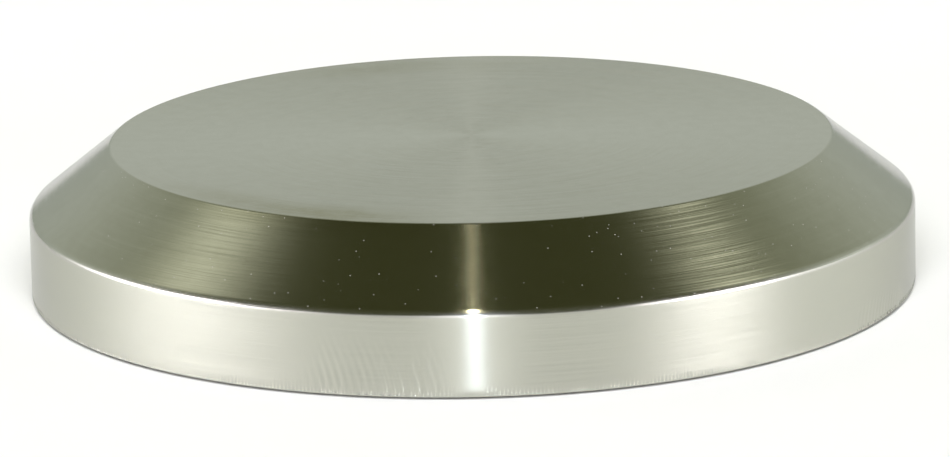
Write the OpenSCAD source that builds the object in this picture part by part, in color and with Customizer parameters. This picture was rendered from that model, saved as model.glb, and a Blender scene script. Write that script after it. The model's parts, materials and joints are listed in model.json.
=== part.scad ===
// Blank pipe cap for a union-nut joint on 2 inch hygienic tube: one turned stainless disc
// with a rubber ring let into a groove in its underside. A nut drawn down over the bevel
// presses the underside, seal first, against the end of the pipe fitting.
// Millimetres. +Z runs up the axis to the flat outer face, and z = 0 is the plane on which
// the free cap rests: the lower face of the seal ring.

/* [Disc] */
// Diameter of the cylindrical rim
rim_d = 59; // [57:0.5:62]
// Height from the metal underside to the corner where rim and bevel would meet unrounded
rim_h = 5.45; // [4.8:0.05:7]
// Diameter of the flat outer face
face_d = 48; // [44:0.5:50]
// Slope of the bevel, measured up from the flat face (degrees)
bevel_angle = 38.5; // [30:0.5:45]
// Radius of the rounded shoulder between rim and bevel
shoulder_r = 0.7; // [0.3:0.05:1.2]
// Reach of the small break that takes the sharpness off the two crisp edges
edge_break = 0.1; // [0.05:0.05:0.2]

/* [Seal] */
// Inner diameter of the groove, just outside the bore of the tube that the cap closes
groove_inner_d = 49; // [46:0.5:49.5]
// Outer diameter of the groove
groove_outer_d = 55; // [54:0.5:55.5]
// Depth of the groove below the metal underside
groove_depth = 1.8; // [1.4:0.1:2.2]
// How far the free seal stands out of its groove, which is how far the nut squeezes it
seal_squeeze = 0.2; // [0.1:0.05:0.4]
// Gap between the free seal and each side wall of the groove
seal_gap = 0.05; // [0.02:0.01:0.1]

/* [Hidden] */
$fn = 180;

rim_r = rim_d / 2;
face_r = face_d / 2;
bevel_h = (rim_r - face_r) * tan(bevel_angle);
disc_h = rim_h + bevel_h;

// The shoulder arc is tangent to the rim and to the bevel
shoulder_turn = 90 - bevel_angle;
shoulder_reach = shoulder_r * tan(shoulder_turn / 2);
shoulder_centre = [rim_r - shoulder_r, rim_h - shoulder_reach];
shoulder_top = [rim_r - shoulder_reach * cos(bevel_angle),
                rim_h + shoulder_reach * sin(bevel_angle)];

seal_h = groove_depth + seal_squeeze;
// The groove's cutter starts this far below the metal underside, to cut cleanly through it
cut_over = 1;

steel_colour = [0.74, 0.73, 0.69];
rubber_colour = [0.07, 0.07, 0.07];

// Half section of the disc, in radius and height above its own metal underside
module disc_section() {
    polygon([
        [0, 0],
        [rim_r - edge_break, 0],
        [rim_r, edge_break],
        [rim_r, shoulder_centre.y],
        shoulder_centre,
        shoulder_top,
        [face_r + edge_break, disc_h - edge_break * tan(bevel_angle)],
        [face_r - edge_break, disc_h],
        [0, disc_h]
    ]);
    translate(shoulder_centre) circle(r = shoulder_r);
}

// Square-sided ring about the axis, standing on z = 0
module square_ring(inner_d, outer_d, height) {
    difference() {
        cylinder(d = outer_d, h = height);
        translate([0, 0, -cut_over]) cylinder(d = inner_d, h = height + 2 * cut_over);
    }
}

// Turned disc: rim, rounded shoulder, bevel, flat outer face and the seal's groove
module cap_disc() {
    color(steel_colour)
    translate([0, 0, seal_squeeze])
    difference() {
        rotate_extrude() disc_section();
        translate([0, 0, -cut_over])
            square_ring(groove_inner_d, groove_outer_d, groove_depth + cut_over);
    }
}

// Flat rubber ring, seated on the floor of the groove and proud of the metal underside
module seal_ring() {
    color(rubber_colour)
    square_ring(groove_inner_d + 2 * seal_gap, groove_outer_d - 2 * seal_gap, seal_h);
}

cap_disc();
seal_ring();
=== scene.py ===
"""Looks for the pipe cap: a turned stainless disc with a rubber ring seal, in a plain pale studio.

Lengths are in metres. The cap's axis is Z, the camera looks along +Y, and angles round the axis
are in degrees from the side that faces the camera, positive towards +X.
"""

import json
import math
import random
from collections import namedtuple

import bpy
from mathutils import Matrix, Vector


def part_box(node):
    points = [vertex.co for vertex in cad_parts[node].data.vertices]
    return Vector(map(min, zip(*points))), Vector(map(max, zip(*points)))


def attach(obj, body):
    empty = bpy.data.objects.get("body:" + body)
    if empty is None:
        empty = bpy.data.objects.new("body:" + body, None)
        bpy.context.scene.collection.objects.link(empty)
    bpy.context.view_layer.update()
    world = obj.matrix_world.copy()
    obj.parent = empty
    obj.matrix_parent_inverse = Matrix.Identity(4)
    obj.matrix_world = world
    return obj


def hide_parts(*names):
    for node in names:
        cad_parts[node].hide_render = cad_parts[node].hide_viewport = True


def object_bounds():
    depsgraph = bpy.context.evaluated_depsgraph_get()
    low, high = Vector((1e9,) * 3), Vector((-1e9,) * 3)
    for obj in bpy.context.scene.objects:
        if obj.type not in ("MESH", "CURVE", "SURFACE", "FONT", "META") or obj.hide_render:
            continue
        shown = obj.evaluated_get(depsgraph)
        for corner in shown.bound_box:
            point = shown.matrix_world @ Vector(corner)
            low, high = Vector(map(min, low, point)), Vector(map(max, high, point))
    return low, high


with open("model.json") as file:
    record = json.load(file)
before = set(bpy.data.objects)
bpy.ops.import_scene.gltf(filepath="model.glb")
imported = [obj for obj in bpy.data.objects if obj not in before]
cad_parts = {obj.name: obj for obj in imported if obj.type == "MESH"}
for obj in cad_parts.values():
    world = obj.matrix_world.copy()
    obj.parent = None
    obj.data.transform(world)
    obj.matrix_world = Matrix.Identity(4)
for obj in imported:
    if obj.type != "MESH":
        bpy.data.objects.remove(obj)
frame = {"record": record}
cad_low, cad_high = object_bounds()

# ------------------------------------------------------------------ driving sizes

MM = 0.001
DISC_LOW, DISC_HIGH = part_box("cap_disc")
SEAL_LOW, SEAL_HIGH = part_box("seal_ring")
RIM_R = DISC_HIGH.x
UNDER_Z = DISC_LOW.z
FACE_Z = DISC_HIGH.z

# Sizes that a node's box doesn't give, as the CAD source has them
FACE_R = 24 * MM
CORNER_Z = UNDER_Z + 5.45 * MM
SHOULDER_R = 0.7 * MM
EDGE_BREAK = 0.1 * MM
GROOVE_INNER_R = 24.5 * MM
GROOVE_OUTER_R = 27.5 * MM
GROOVE_FLOOR_Z = SEAL_HIGH.z
SEAL_INNER_R = 24.55 * MM
SEAL_OUTER_R = SEAL_HIGH.x
BEVEL_ANGLE = math.atan2(FACE_Z - CORNER_Z, RIM_R - FACE_R)

# Chatter marks: shallow upright ribs that the vibrating tool left in patches low on the rim. A
# full circle would have this many, each with its own share of its patch's depth.
RIBS = 360
RIB_STRENGTHS = (0.5, 1.3)
# The ribs lean more the further up they go: the power of their share of the height
LEAN_POWER = 1.5
# Vertices round a turned ring, and round one of the rim's, which have to show the ribs
SEGMENTS = 2 * RIBS
RIM_SEGMENTS = 8 * RIBS
# A patch of ribs: its middle and half width in degrees, how many ribs it leans over by at its
# top, how far up the rim it reaches, its depth in mm, and how fine its ribs are (1 or 2)
Chatter = namedtuple("Chatter", "middle half_width lean reach depth fineness")
CHATTER = [
    Chatter(-58, 26, -0.5, 0.30, 0.012, 1),
    Chatter(-30, 7, 0.4, 0.70, 0.006, 2),
    Chatter(-13, 9.5, 2.8, 0.80, 0.027, 1),
    Chatter(28, 6, -0.4, 0.55, 0.006, 2),
    Chatter(62, 14, -2.4, 0.55, 0.025, 1),
    Chatter(118, 20, 1.0, 0.55, 0.015, 1),
    Chatter(165, 18, -1.2, 0.45, 0.020, 1),
    Chatter(-112, 22, 1.4, 0.60, 0.018, 1),
    Chatter(-160, 12, -0.6, 0.35, 0.015, 1),
]
# The same vibration left fine notches in the rim's lower edge, two to every rib: how far they
# lift the edge, how deep they are, and how far up they run
NOTCH_LIFT = 0.05 * MM
NOTCH_DEPTH = 0.06 * MM
NOTCH_REACH = 0.3 * MM

# What the steel reflects: where it is bright, where it is duller, and under a finger stain
STEEL_COLOUR = (0.56, 0.55, 0.515)
DULL_STEEL = (0.54, 0.53, 0.492)
STAINED_STEEL = (0.35, 0.33, 0.22)
# Bright and dull patches: how many there are in a mm, and the noise at which each is pure
PATCHES_PER_MM = 0.9
PATCH_NOISE = (-0.2, 0.25)
# Painted shade and tint: the rim is coloured a little darker and yellower than the faces, as its
# reflections look, though it is the same steel: the colour, and how much of that is mixed in
RIM_PAINTED_TINT = (0.54, 0.545, 0.472)
RIM_TINT_SHARE = 0.85
# The upward part of the surface normal where the rim ends, and where the faces begin
RIM_BLEND = (0.01, 0.14)
# Reflection near grazing, as a share of full
EDGE_TINT = 0.7
# The lathe's grooves, then the finer marks of its feed: how many there are in a mm across the
# tool's path, and how often they change in a radian along it
GROOVES_PER_MM = 8
GROOVE_CHANGES = 2.5
FEED_MARKS_PER_MM = 28
FEED_CHANGES = 3
# The finish of the faces and of the rim, which is duller and has fainter grooves: the roughness,
# how far the grooves vary it, and how steep the grooves and the feed marks are
Finish = namedtuple("Finish", "roughness groove_roughness groove_slope feed_slope")
FACE_FINISH = Finish(0.14, 0.06, 0.035, 0.38)
RIM_FINISH = Finish(0.21, 0.03, 0.02, 0.18)
# Dust on the faces: its colour, how many cells there are in a mm, the radius of the speck in a
# cell as a share of the cell, and the share of cells that have one
DUST_COLOUR = (0.32, 0.31, 0.27)
DUST_CELLS_PER_MM = 1.8
SPECK_RADIUS = 0.04
SPECK_SHARE = 0.9
# Faint finger stains on the outer face: azimuth in degrees, then radius, width and depth in mm,
# and how strong the stain is
Stain = namedtuple("Stain", "azimuth radius width depth strength")
STAINS = [
    Stain(-23, 22.6, 5.0, 1.6, 0.75),
    Stain(-42, 22.4, 5.5, 1.5, 0.4),
    Stain(-163, 21.5, 5.0, 1.8, 0.35),
    Stain(178, 20.5, 3.0, 2.2, 0.12),
]
# How far below the face a stain still shows, in mm, and its ragged outline: how many notches
# there are in a mm, and how deep they are
STAIN_DROP = 2
STAIN_NOTCHES_PER_MM = 0.6
STAIN_RAGGEDNESS = 1.5


# ------------------------------------------------------------------- node helpers

def add_node(tree, kind, **settings):
    """A new node with its properties set."""
    node = tree.nodes.new(kind)
    for name, value in settings.items():
        setattr(node, name, value)
    return node


def feed(tree, socket, value):
    """Links value to the socket if it is a socket, and sets it otherwise."""
    if isinstance(value, bpy.types.NodeSocket):
        tree.links.new(value, socket)
    else:
        socket.default_value = value


def calc(tree, operation, *values):
    """A Math node's output."""
    node = add_node(tree, "ShaderNodeMath", operation=operation)
    for socket, value in zip(node.inputs, values):
        feed(tree, socket, value)
    return node.outputs[0]


def vector_calc(tree, operation, *values):
    """A Vector Math node's vector output."""
    node = add_node(tree, "ShaderNodeVectorMath", operation=operation)
    for socket, value in zip(node.inputs, values):
        feed(tree, socket, value)
    return node.outputs["Vector"]


def scaled(tree, vector, factor):
    """vector times a number."""
    node = add_node(tree, "ShaderNodeVectorMath", operation="SCALE")
    feed(tree, node.inputs[0], vector)
    feed(tree, node.inputs["Scale"], factor)
    return node.outputs["Vector"]


def combine(tree, x, y, z):
    """A vector made from three values."""
    node = add_node(tree, "ShaderNodeCombineXYZ")
    for socket, value in zip(node.inputs, (x, y, z)):
        feed(tree, socket, value)
    return node.outputs[0]


def ramp(tree, value, low, high, to_low=0.0, to_high=1.0):
    """value taken smoothly from low..high to to_low..to_high, and held beyond them."""
    node = add_node(tree, "ShaderNodeMapRange", interpolation_type="SMOOTHSTEP")
    settings = {"From Min": low, "From Max": high, "To Min": to_low, "To Max": to_high}
    for name, setting in settings.items():
        node.inputs[name].default_value = setting
    feed(tree, node.inputs["Value"], value)
    return node.outputs["Result"]


def mix_colour(tree, share, first, second):
    """A blend of two colours, each a colour or a socket."""
    node = add_node(tree, "ShaderNodeMix", data_type="RGBA")
    for place, value in ((0, share), (6, first), (7, second)):
        feed(tree, node.inputs[place], value)
    return node.outputs[2]


def noise(tree, vector, detail=2.0):
    """A Noise Texture's value less its middle, so from -0.5 to 0.5."""
    node = add_node(tree, "ShaderNodeTexNoise")
    feed(tree, node.inputs["Vector"], vector)
    node.inputs["Scale"].default_value = 1
    node.inputs["Detail"].default_value = detail
    return calc(tree, "SUBTRACT", node.outputs["Fac"], 0.5)


# ---------------------------------------------------------------------- materials

def record_colour(slot):
    """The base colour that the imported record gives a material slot."""
    found = next(m for m in frame["record"]["materials"] if m["slot"] == slot)
    return (*found["base_color"][:3], 1)


def new_material(name):
    """An empty node material: itself, its tree and its Principled shader."""
    material = bpy.data.materials.new(name)
    material.use_nodes = True
    return material, material.node_tree, material.node_tree.nodes["Principled BSDF"]


class Turned:
    """Coordinates of a surface turned about Z, for patterns that follow the tool's path."""

    def __init__(self, tree):
        self.tree = tree
        self.place = add_node(tree, "ShaderNodeTexCoord").outputs["Object"]
        split = add_node(tree, "ShaderNodeSeparateXYZ")
        feed(tree, split.inputs[0], self.place)
        x, y, self.z = split.outputs
        squares = calc(tree, "ADD", calc(tree, "MULTIPLY", x, x), calc(tree, "MULTIPLY", y, y))
        self.radius = calc(tree, "MAXIMUM", calc(tree, "SQRT", squares), 0.001 * MM)
        self.cos_turn = calc(tree, "DIVIDE", x, self.radius)
        self.sin_turn = calc(tree, "DIVIDE", y, self.radius)
        # grows all the way from the face's centre down to the rim's lower edge
        self.along = calc(tree, "SUBTRACT", self.radius, self.z)
        self.normal = add_node(tree, "ShaderNodeNewGeometry").outputs["Normal"]
        normal_split = add_node(tree, "ShaderNodeSeparateXYZ")
        feed(tree, normal_split.inputs[0], self.normal)
        self.upward = normal_split.outputs[2]
        circular = combine(tree, calc(tree, "MULTIPLY", self.sin_turn, -1), self.cos_turn, 0)
        self.across = vector_calc(tree, "CROSS_PRODUCT", circular, self.normal)

    def grooves(self, per_mm, per_radian, detail=1.0):
        """Noise drawn out along the tool's path. per_mm is across it, and per_radian along it."""
        tree = self.tree
        vector = combine(tree, calc(tree, "MULTIPLY", self.along, per_mm / MM),
                         calc(tree, "MULTIPLY", self.cos_turn, per_radian),
                         calc(tree, "MULTIPLY", self.sin_turn, per_radian))
        return noise(tree, vector, detail)

    def specks(self, per_mm, radius, share):
        """1 in small dots scattered over the surface, one in a share of its cells, and 0 elsewhere."""
        tree = self.tree
        cells = add_node(tree, "ShaderNodeTexVoronoi", voronoi_dimensions="3D")
        feed(tree, cells.inputs["Vector"], self.place)
        cells.inputs["Scale"].default_value = per_mm / MM
        chance = add_node(tree, "ShaderNodeSeparateXYZ")
        feed(tree, chance.inputs[0], cells.outputs["Color"])
        used = calc(tree, "LESS_THAN", chance.outputs[0], share)
        dot = ramp(tree, cells.outputs["Distance"], radius, 2 * radius, 1, 0)
        return calc(tree, "MULTIPLY", used, dot)

    def patch(self, stain):
        """How strong a stain is: a bell shape with a ragged outline."""
        tree = self.tree
        centre = from_azimuth(stain.azimuth, 0, stain.radius * MM)
        offset = vector_calc(tree, "SUBTRACT", self.place, (centre.x, centre.y, FACE_Z))
        turned_offset = add_node(tree, "ShaderNodeVectorRotate", rotation_type="Z_AXIS")
        feed(tree, turned_offset.inputs["Vector"], offset)
        turned_offset.inputs["Angle"].default_value = -math.radians(stain.azimuth)
        shape = vector_calc(tree, "DIVIDE", turned_offset.outputs[0],
                            (stain.width * MM, stain.depth * MM, STAIN_DROP * MM))
        squares = add_node(tree, "ShaderNodeVectorMath", operation="DOT_PRODUCT")
        feed(tree, squares.inputs[0], shape)
        feed(tree, squares.inputs[1], shape)
        notches = noise(tree, scaled(tree, self.place, STAIN_NOTCHES_PER_MM / MM), 3)
        ragged = calc(tree, "MULTIPLY", notches, STAIN_RAGGEDNESS)
        reach = calc(tree, "ADD", squares.outputs["Value"], ragged)
        bell = calc(tree, "EXPONENT", calc(tree, "MULTIPLY", reach, -1))
        return calc(tree, "MINIMUM", calc(tree, "MULTIPLY", bell, stain.strength), 1)

    def tilted_normal(self, slope):
        """The surface normal, tipped across the grooves by a slope."""
        tipped = vector_calc(self.tree, "ADD", self.normal, scaled(self.tree, self.across, slope))
        return vector_calc(self.tree, "NORMALIZE", tipped)


def turned_steel():
    """Stainless steel off the lathe: smooth along its circular grooves and rough across them."""
    material, tree, shader = new_material("turned_steel")
    turned = Turned(tree)

    on_rim = ramp(tree, turned.upward, *RIM_BLEND, 1, 0)
    finish = Finish(*(calc(tree, "MULTIPLY_ADD", on_rim, rim - face, face)
                      for face, rim in zip(FACE_FINISH, RIM_FINISH)))
    grooves = turned.grooves(GROOVES_PER_MM, GROOVE_CHANGES, 2)
    feed_marks = turned.grooves(FEED_MARKS_PER_MM, FEED_CHANGES)
    slope = calc(tree, "ADD", calc(tree, "MULTIPLY", grooves, finish.groove_slope),
                 calc(tree, "MULTIPLY", feed_marks, finish.feed_slope))
    uneven = calc(tree, "MULTIPLY", grooves, finish.groove_roughness)
    roughness = calc(tree, "ADD", uneven, finish.roughness)
    specks = turned.specks(DUST_CELLS_PER_MM, SPECK_RADIUS, SPECK_SHARE)
    dust = calc(tree, "MULTIPLY", specks, calc(tree, "SUBTRACT", 1, on_rim))

    patches = noise(tree, scaled(tree, turned.place, PATCHES_PER_MM / MM), 4)
    dull = ramp(tree, patches, *PATCH_NOISE)
    colour = mix_colour(tree, dull, (*STEEL_COLOUR, 1), (*DULL_STEEL, 1))
    for stain in STAINS:
        colour = mix_colour(tree, turned.patch(stain), colour, (*STAINED_STEEL, 1))
    # painted shade and tint: the rim's colour is mixed towards a darker, yellower steel for what it
    # reflects
    rim_tint_share = calc(tree, "MULTIPLY", on_rim, RIM_TINT_SHARE)
    colour = mix_colour(tree, rim_tint_share, colour, (*RIM_PAINTED_TINT, 1))
    feed(tree, shader.inputs["Base Color"], mix_colour(tree, dust, colour, (*DUST_COLOUR, 1)))
    feed(tree, shader.inputs["Metallic"], calc(tree, "SUBTRACT", 1, dust))
    feed(tree, shader.inputs["Roughness"], roughness)
    shader.inputs["Anisotropic"].default_value = 1.0
    shader.inputs["Specular Tint"].default_value = (EDGE_TINT, EDGE_TINT, EDGE_TINT, 1)
    feed(tree, shader.inputs["Normal"], turned.tilted_normal(slope))
    feed(tree, shader.inputs["Tangent"], turned.across)
    return material


def seal_rubber():
    """Matt black moulded rubber, with the pale bloom that rubber gets."""
    grains_per_mm = 6
    grain_height = 0.01 * MM
    blooms_per_mm = 0.3
    bloom_noise = (-0.1, 0.35)
    bloom_brightness = 2.2
    mean_roughness = 0.62
    roughness_change = 0.3
    material, tree, shader = new_material("seal_rubber")
    place = add_node(tree, "ShaderNodeTexCoord").outputs["Object"]
    grain = noise(tree, scaled(tree, place, grains_per_mm / MM), 3)
    bloom = noise(tree, scaled(tree, place, blooms_per_mm / MM), 3)
    colour = record_colour("seal_rubber")
    bloomed = tuple(bloom_brightness * c for c in colour[:3]) + (1,)
    mixed = mix_colour(tree, ramp(tree, bloom, *bloom_noise), colour, bloomed)
    feed(tree, shader.inputs["Base Color"], mixed)
    change = calc(tree, "MULTIPLY", bloom, roughness_change)
    feed(tree, shader.inputs["Roughness"], calc(tree, "ADD", mean_roughness, change))
    bump = add_node(tree, "ShaderNodeBump")
    bump.inputs["Distance"].default_value = grain_height
    feed(tree, bump.inputs["Height"], grain)
    feed(tree, shader.inputs["Normal"], bump.outputs[0])
    return material


def pale_floor():
    """Matt off-white paper with a faint mottle."""
    patches_per_metre = 30
    patch_noise = (-0.3, 0.3)
    darker, lighter = ((grey, grey, grey, 1) for grey in (0.9, 0.92))
    material, tree, shader = new_material("pale_floor")
    place = add_node(tree, "ShaderNodeTexCoord").outputs["Object"]
    mottle = noise(tree, scaled(tree, place, patches_per_metre), 4)
    colour = mix_colour(tree, ramp(tree, mottle, *patch_noise), darker, lighter)
    feed(tree, shader.inputs["Base Color"], colour)
    shader.inputs["Roughness"].default_value = 0.9
    shader.inputs["Specular IOR Level"].default_value = 0
    return material


# ----------------------------------------------------------------------- geometry

# One ring of a turned surface: where it is, which way its surface faces, and its vertex count
Row = namedtuple("Row", "radius height out up segments")


def flank(start, end, steps, segments=SEGMENTS):
    """Rows along a straight flank between two (radius, height) points, solid on their right."""
    run, rise = end[0] - start[0], end[1] - start[1]
    length = math.hypot(run, rise)
    return [Row(start[0] + run * i / steps, start[1] + rise * i / steps,
                -rise / length, run / length, segments)
            for i in range(steps + 1)]


def arc(centre, radius, first, last, steps, segments=SEGMENTS):
    """Rows strictly between two angles, in radians above the outward direction, of a round edge."""
    rows = []
    for i in range(1, steps):
        angle = first + (last - first) * i / steps
        out, up = math.cos(angle), math.sin(angle)
        rows.append(Row(centre[0] + radius * out, centre[1] + radius * up, out, up, segments))
    return rows


def disc_rows():
    """The disc's outline: outer face, bevel, shoulder, rim, then the underside and its groove."""
    centre_r = 0.02 * MM
    turn = math.pi / 2 - BEVEL_ANGLE
    reach = SHOULDER_R * math.tan(turn / 2)
    shoulder = (RIM_R - SHOULDER_R, CORNER_Z - reach)
    down = (math.cos(BEVEL_ANGLE), -math.sin(BEVEL_ANGLE))
    bevel_top = (FACE_R + EDGE_BREAK * down[0], FACE_Z + EDGE_BREAK * down[1])
    bevel_foot = (RIM_R - reach * down[0], CORNER_Z - reach * down[1])
    lip = UNDER_Z + EDGE_BREAK
    groove_foot = GROOVE_FLOOR_Z - EDGE_BREAK
    return [
        *flank((centre_r, FACE_Z), (FACE_R - EDGE_BREAK, FACE_Z), 3),
        *flank(bevel_top, bevel_foot, 3),
        *arc(shoulder, SHOULDER_R, turn, 0, 10),
        *flank((RIM_R, shoulder[1]), (RIM_R, lip + NOTCH_REACH), 16, RIM_SEGMENTS)[:-1],
        *flank((RIM_R, lip + NOTCH_REACH), (RIM_R, lip), 3, RIM_SEGMENTS),
        *arc((RIM_R - EDGE_BREAK, lip), EDGE_BREAK, 0, -math.pi / 2, 4, 2 * SEGMENTS),
        *flank((RIM_R - EDGE_BREAK, UNDER_Z), (GROOVE_OUTER_R + EDGE_BREAK, UNDER_Z), 2),
        *flank((GROOVE_OUTER_R, lip), (GROOVE_OUTER_R, groove_foot), 2),
        *flank((GROOVE_OUTER_R - EDGE_BREAK, GROOVE_FLOOR_Z),
               (GROOVE_INNER_R + EDGE_BREAK, GROOVE_FLOOR_Z), 1),
        *flank((GROOVE_INNER_R, groove_foot), (GROOVE_INNER_R, lip), 2),
        *flank((GROOVE_INNER_R - EDGE_BREAK, UNDER_Z), (centre_r, UNDER_Z), 8),
    ]


def seal_rows():
    """The ring seal's outline, with rounded corners, closed on itself."""
    corner = 0.25 * MM
    inner, outer = SEAL_INNER_R + corner, SEAL_OUTER_R - corner
    low, high = SEAL_LOW.z + corner, SEAL_HIGH.z - corner
    quarter = math.pi / 2
    return [
        *flank((inner, SEAL_HIGH.z), (outer, SEAL_HIGH.z), 3),
        *arc((outer, high), corner, quarter, 0, 5),
        *flank((SEAL_OUTER_R, high), (SEAL_OUTER_R, low), 2),
        *arc((outer, low), corner, 0, -quarter, 5),
        *flank((outer, SEAL_LOW.z), (inner, SEAL_LOW.z), 3),
        *arc((inner, low), corner, -quarter, -2 * quarter, 5),
        *flank((SEAL_INNER_R, low), (SEAL_INNER_R, high), 2),
        *arc((inner, high), corner, -2 * quarter, -3 * quarter, 5),
    ]


def chatter_depth(degrees, share_up, jitter):
    """How deep the ribs are cut into the rim there. share_up is 0 at the rim's lower edge."""
    depth = 0.0
    for patch in CHATTER:
        away = (degrees - patch.middle + 180) % 360 - 180
        across = max(0.0, 1 - (away / patch.half_width) ** 2)
        fade = max(0.0, 1 - (share_up / patch.reach) ** 2)
        phase = patch.fineness * RIBS * math.radians(degrees)
        phase += math.tau * patch.lean * (share_up / patch.reach) ** LEAN_POWER
        depth += patch.depth * MM * jitter * across * fade * (0.5 - 0.5 * math.cos(phase))
    return depth


def notch(degrees, height):
    """How much of a notch is left there: 1 in its middle at the lower edge, and 0 clear of it."""
    fade = max(0.0, 1 - height / NOTCH_REACH)
    return fade * max(0.0, -math.cos(2 * RIBS * math.radians(degrees)))


def ring_of(row, chatter):
    """A row's points and normals. Chatter cuts the rim's rows, so Blender finds their normals."""
    points, normals = [], []
    on_rim = row.segments == RIM_SEGMENTS
    for i in range(row.segments):
        angle = 2 * math.pi * i / row.segments
        out = Vector((math.sin(angle), -math.cos(angle), 0))
        inward, lift = chatter(math.degrees(angle), row.height) if on_rim else (0, 0)
        points.append(out * (row.radius - inward) + Vector((0, 0, row.height + lift)))
        normals.append(Vector() if on_rim else out * row.out + Vector((0, 0, row.up)))
    return points, normals


def strip(first, first_count, second, second_count):
    """Faces between two rings, whose vertices start at first and second. One may be the finer."""
    faces = []
    if first_count < second_count:
        mirrored = strip(second, second_count, first, first_count)
        return [tuple(reversed(face)) for face in mirrored]
    fine_per_coarse = first_count // second_count
    for j in range(second_count):
        here, there = second + j, second + (j + 1) % second_count
        fine = [first + (j * fine_per_coarse + k) % first_count for k in range(fine_per_coarse + 1)]
        middle = fine_per_coarse // 2
        for k in range(fine_per_coarse):
            if k == middle:
                faces.append((fine[k], fine[k + 1], there, here))
            else:
                faces.append((fine[k], fine[k + 1], here if k < middle else there))
    return faces


def lathe(name, rows, chatter=None, closed=False):
    """A solid turned about Z. Its ends are capped, or joined to each other if it is closed."""
    points, normals, starts, faces = [], [], [], []
    for row in rows:
        starts.append(len(points))
        ring_points, ring_normals = ring_of(row, chatter)
        points += ring_points
        normals += ring_normals
    pairs = len(rows) if closed else len(rows) - 1
    for i in range(pairs):
        j = (i + 1) % len(rows)
        faces += strip(starts[i], rows[i].segments, starts[j], rows[j].segments)
    if not closed:
        faces.append(tuple(starts[0] + k for k in reversed(range(rows[0].segments))))
        faces.append(tuple(starts[-1] + k for k in range(rows[-1].segments)))
    faces = [tuple(reversed(face)) for face in faces]
    mesh = bpy.data.meshes.new(name)
    mesh.from_pydata(points, [], faces)
    mesh.shade_smooth()
    mesh.normals_split_custom_set_from_vertices(normals)
    piece = bpy.data.objects.new(name, mesh)
    bpy.context.scene.collection.objects.link(piece)
    return piece


def make_disc():
    """The turned disc, in place of the plain CAD one."""
    seeded = random.Random(7)
    jitters = [seeded.uniform(*RIB_STRENGTHS) for _ in range(RIBS)]
    low, high = UNDER_Z + EDGE_BREAK, CORNER_Z

    def chatter(degrees, height):
        jitter = jitters[int(degrees / 360 * RIBS + 0.5) % RIBS]
        ribs = chatter_depth(degrees, (height - low) / (high - low), jitter)
        share = jitter * notch(degrees, height - low)
        return ribs + NOTCH_DEPTH * share, NOTCH_LIFT * share

    disc = lathe("turned_disc", disc_rows(), chatter)
    disc.data.materials.append(turned_steel())
    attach(disc, "root")
    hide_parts("cap_disc")


def make_seal():
    """The ring seal, in place of the plain CAD one."""
    seal = lathe("ring_seal", seal_rows(), closed=True)
    seal.data.materials.append(seal_rubber())
    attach(seal, "root")
    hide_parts("seal_ring")


# ------------------------------------------------------------------------- studio

def from_azimuth(azimuth, elevation, distance):
    """The point that far from the origin. Azimuth 0 is towards the camera and 90 towards +X."""
    a, e = math.radians(azimuth), math.radians(elevation)
    return distance * Vector((math.sin(a) * math.cos(e), -math.cos(a) * math.cos(e), math.sin(e)))


def make_floor():
    """A wide pale floor under the cap."""
    half = 3.0
    mesh = bpy.data.meshes.new("floor")
    corners = [(-half, -half), (half, -half), (half, half), (-half, half)]
    mesh.from_pydata([(x, y, cad_low.z) for x, y in corners], [], [(0, 1, 2, 3)])
    mesh.materials.append(pale_floor())
    floor = bpy.data.objects.new("floor", mesh)
    bpy.context.scene.collection.objects.link(floor)


def overhead_light():
    """Broad light for the floor, from the front and above. The steel doesn't mirror it."""
    elevation = 38
    light = bpy.data.lights.new("overhead", "SUN")
    light.energy = 3.95
    light.color = (1.0, 1.0, 1.05)
    light.angle = math.radians(40)
    lamp = bpy.data.objects.new("overhead", light)
    lamp.rotation_euler = from_azimuth(0, elevation, 1).to_track_quat("Z", "Y").to_euler()
    lamp.visible_glossy = False
    bpy.context.scene.collection.objects.link(lamp)


# The light tent's plain walls: an elevation in degrees, and the colour there. The front wall is
# behind the camera.
BACK_WALL = [
    (0, (0.53, 0.58, 0.49)), (14, (0.59, 0.64, 0.54)), (24, (0.52, 0.56, 0.45)),
    (34, (0.40, 0.43, 0.32)), (44, (0.27, 0.29, 0.19)), (54, (0.13, 0.14, 0.08)),
    (64, (0.075, 0.08, 0.035)), (75, (0.056, 0.06, 0.022)),
]
FRONT_WALL = [
    (0, (0.20, 0.21, 0.18)), (10, (0.11, 0.12, 0.08)), (35, (0.09, 0.095, 0.05)),
    (70, (0.058, 0.062, 0.022)),
]
# The direction's Y where the front wall ends, and where the back wall begins
WALL_BLEND = (-0.6, 0.5)
# Brighter patches of the walls: azimuth, elevation, half width and half height in degrees, and
# the radiance in the middle
Glow = namedtuple("Glow", "azimuth elevation width height colour")
GLOWS = [
    Glow(-80, 0, 27, 7, (17.6, 16.9, 17.9)),
    Glow(64, 0, 17, 7, (17.3, 16.6, 17.6)),
    Glow(0, 0, 10, 8, (5.2, 5.2, 5.5)),
    Glow(0, 22, 7, 14, (0.25, 0.27, 0.33)),
    Glow(98, 0, 24, 7, (1.5, 1.5, 1.5)),
    Glow(-116, 50, 14, 9, (0.82, 0.84, 0.64)),
    Glow(100, 51, 12, 8, (1.4, 1.43, 1.06)),
    Glow(180, 18, 20, 16, (0.2, 0.2, 0.2)),
    Glow(180, 14, 0.5, 40, (0.09, 0.09, 0.09)),
]
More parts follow.
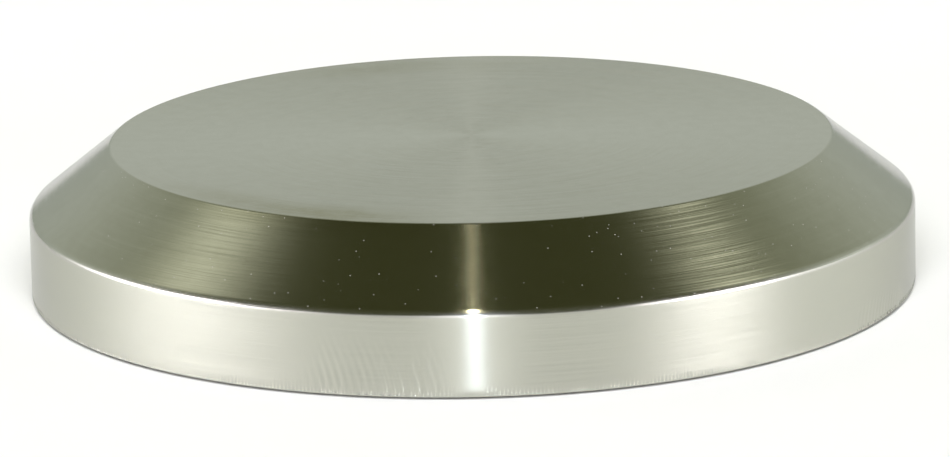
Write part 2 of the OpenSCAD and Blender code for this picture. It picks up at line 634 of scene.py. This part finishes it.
# A tall slim light behind the camera, with a dim middle: its half width as a share of its
# distance, the share of that over which its edge fades each way, how much of it the top lacks,
# how far the top leans towards -X, the greatest radiance, and the shares of that at elevations
# in degrees
STRIP_HALF_WIDTH = 0.035
STRIP_SOFTNESS = 0.15
STRIP_TAPER = 0.8
STRIP_LEAN = 0.005
STRIP_RADIANCE = 29
STRIP_SHARES = [
    (8, (0.41, 0.46, 0.55)), (13, (0.04, 0.043, 0.05)), (38, (0.04, 0.043, 0.047)),
    (58, (0.8, 0.75, 0.5)), (68, (0.8, 0.75, 0.5)), (77, (0, 0, 0)),
]
# The direction's Y up to which the strip is whole, and from which there is none of it
STRIP_END = (-0.1, 0.0)


def gradient(tree, up, stops):
    """A colour that follows the elevation through (degrees, colour) stops. up is its sine."""
    node = add_node(tree, "ShaderNodeValToRGB")
    elements = node.color_ramp.elements
    while len(elements) < len(stops):
        elements.new(0.5)
    for element, (elevation, colour) in zip(elements, stops):
        element.position = math.sin(math.radians(elevation))
        element.color = (*colour, 1)
    feed(tree, node.inputs[0], up)
    return node.outputs[0]


def glow_light(tree, azimuth, elevation, glow):
    """A glow's light in a direction given in radians: a bell shape both ways."""
    turn = calc(tree, "SUBTRACT", azimuth, math.radians(glow.azimuth))
    turn = calc(tree, "WRAP", turn, math.pi, -math.pi)
    across = calc(tree, "DIVIDE", turn, math.radians(glow.width))
    rise = calc(tree, "SUBTRACT", elevation, math.radians(glow.elevation))
    upward = calc(tree, "DIVIDE", rise, math.radians(glow.height))
    squares = calc(tree, "ADD", calc(tree, "MULTIPLY", across, across),
                   calc(tree, "MULTIPLY", upward, upward))
    return scaled(tree, glow.colour, calc(tree, "EXPONENT", calc(tree, "MULTIPLY", squares, -1)))


def make_world():
    """The light tent as the steel sees it, and plain white as the camera does."""
    world = bpy.data.worlds.new("studio")
    bpy.context.scene.world = world
    world.use_nodes = True
    tree = world.node_tree
    split = add_node(tree, "ShaderNodeSeparateXYZ")
    feed(tree, split.inputs[0], add_node(tree, "ShaderNodeTexCoord").outputs["Generated"])
    x, y, up = split.outputs
    azimuth = calc(tree, "ARCTAN2", x, calc(tree, "MULTIPLY", y, -1))
    elevation = calc(tree, "ARCSINE", up)
    tent = mix_colour(tree, ramp(tree, y, *WALL_BLEND), gradient(tree, up, FRONT_WALL),
                      gradient(tree, up, BACK_WALL))
    for glow in GLOWS:
        tent = vector_calc(tree, "ADD", tent, glow_light(tree, azimuth, elevation, glow))
    full_width = calc(tree, "MULTIPLY_ADD", up, -STRIP_TAPER, 1)
    off_middle = calc(tree, "ABSOLUTE", calc(tree, "MULTIPLY_ADD", up, STRIP_LEAN, x))
    sideways = calc(tree, "DIVIDE", off_middle, full_width)
    beside = ramp(tree, sideways, (1 - STRIP_SOFTNESS) * STRIP_HALF_WIDTH,
                  (1 + STRIP_SOFTNESS) * STRIP_HALF_WIDTH, 1, 0)
    in_front = ramp(tree, y, *STRIP_END, 1, 0)
    radiance = calc(tree, "MULTIPLY", calc(tree, "MULTIPLY", beside, in_front), STRIP_RADIANCE)
    tent = vector_calc(tree, "ADD", tent, scaled(tree, gradient(tree, up, STRIP_SHARES), radiance))
    seen = add_node(tree, "ShaderNodeLightPath").outputs["Is Camera Ray"]
    feed(tree, tree.nodes["Background"].inputs["Color"], mix_colour(tree, seen, tent, (1, 1, 1, 1)))


def make_camera():
    """A long lens from a little above, with the camera leaning slightly."""
    distance = 14 * RIM_R
    elevation = 14.22
    lean = -1.258
    rim_share_of_width = 0.9305
    # how far the middle of the picture lies below and to the right of the disc's middle
    below, right = 0.050 * RIM_R, 0.0063 * RIM_R
    lens = bpy.data.cameras.new("camera")
    lens.lens = lens.sensor_width * rim_share_of_width * distance / (2 * RIM_R)
    lens.clip_start = 0.01
    camera = bpy.data.objects.new("camera", lens)
    back = from_azimuth(0, elevation, 1)
    turn = back.to_track_quat("Z", "Y").to_matrix().to_4x4()
    leaning = turn @ Matrix.Rotation(math.radians(lean), 4, "Z")
    middle = (DISC_LOW + DISC_HIGH) / 2
    place = Matrix.Translation(middle + back * distance)
    camera.matrix_world = place @ leaning @ Matrix.Translation((right, -below, 0))
    bpy.context.scene.collection.objects.link(camera)
    bpy.context.scene.camera = camera


def make_studio():
    """Floor, light, tent and camera, with colours shown as they are."""
    make_floor()
    overhead_light()
    make_world()
    make_camera()
    bpy.context.scene.view_settings.view_transform = "Standard"


make_disc()
make_seal()
make_studio()
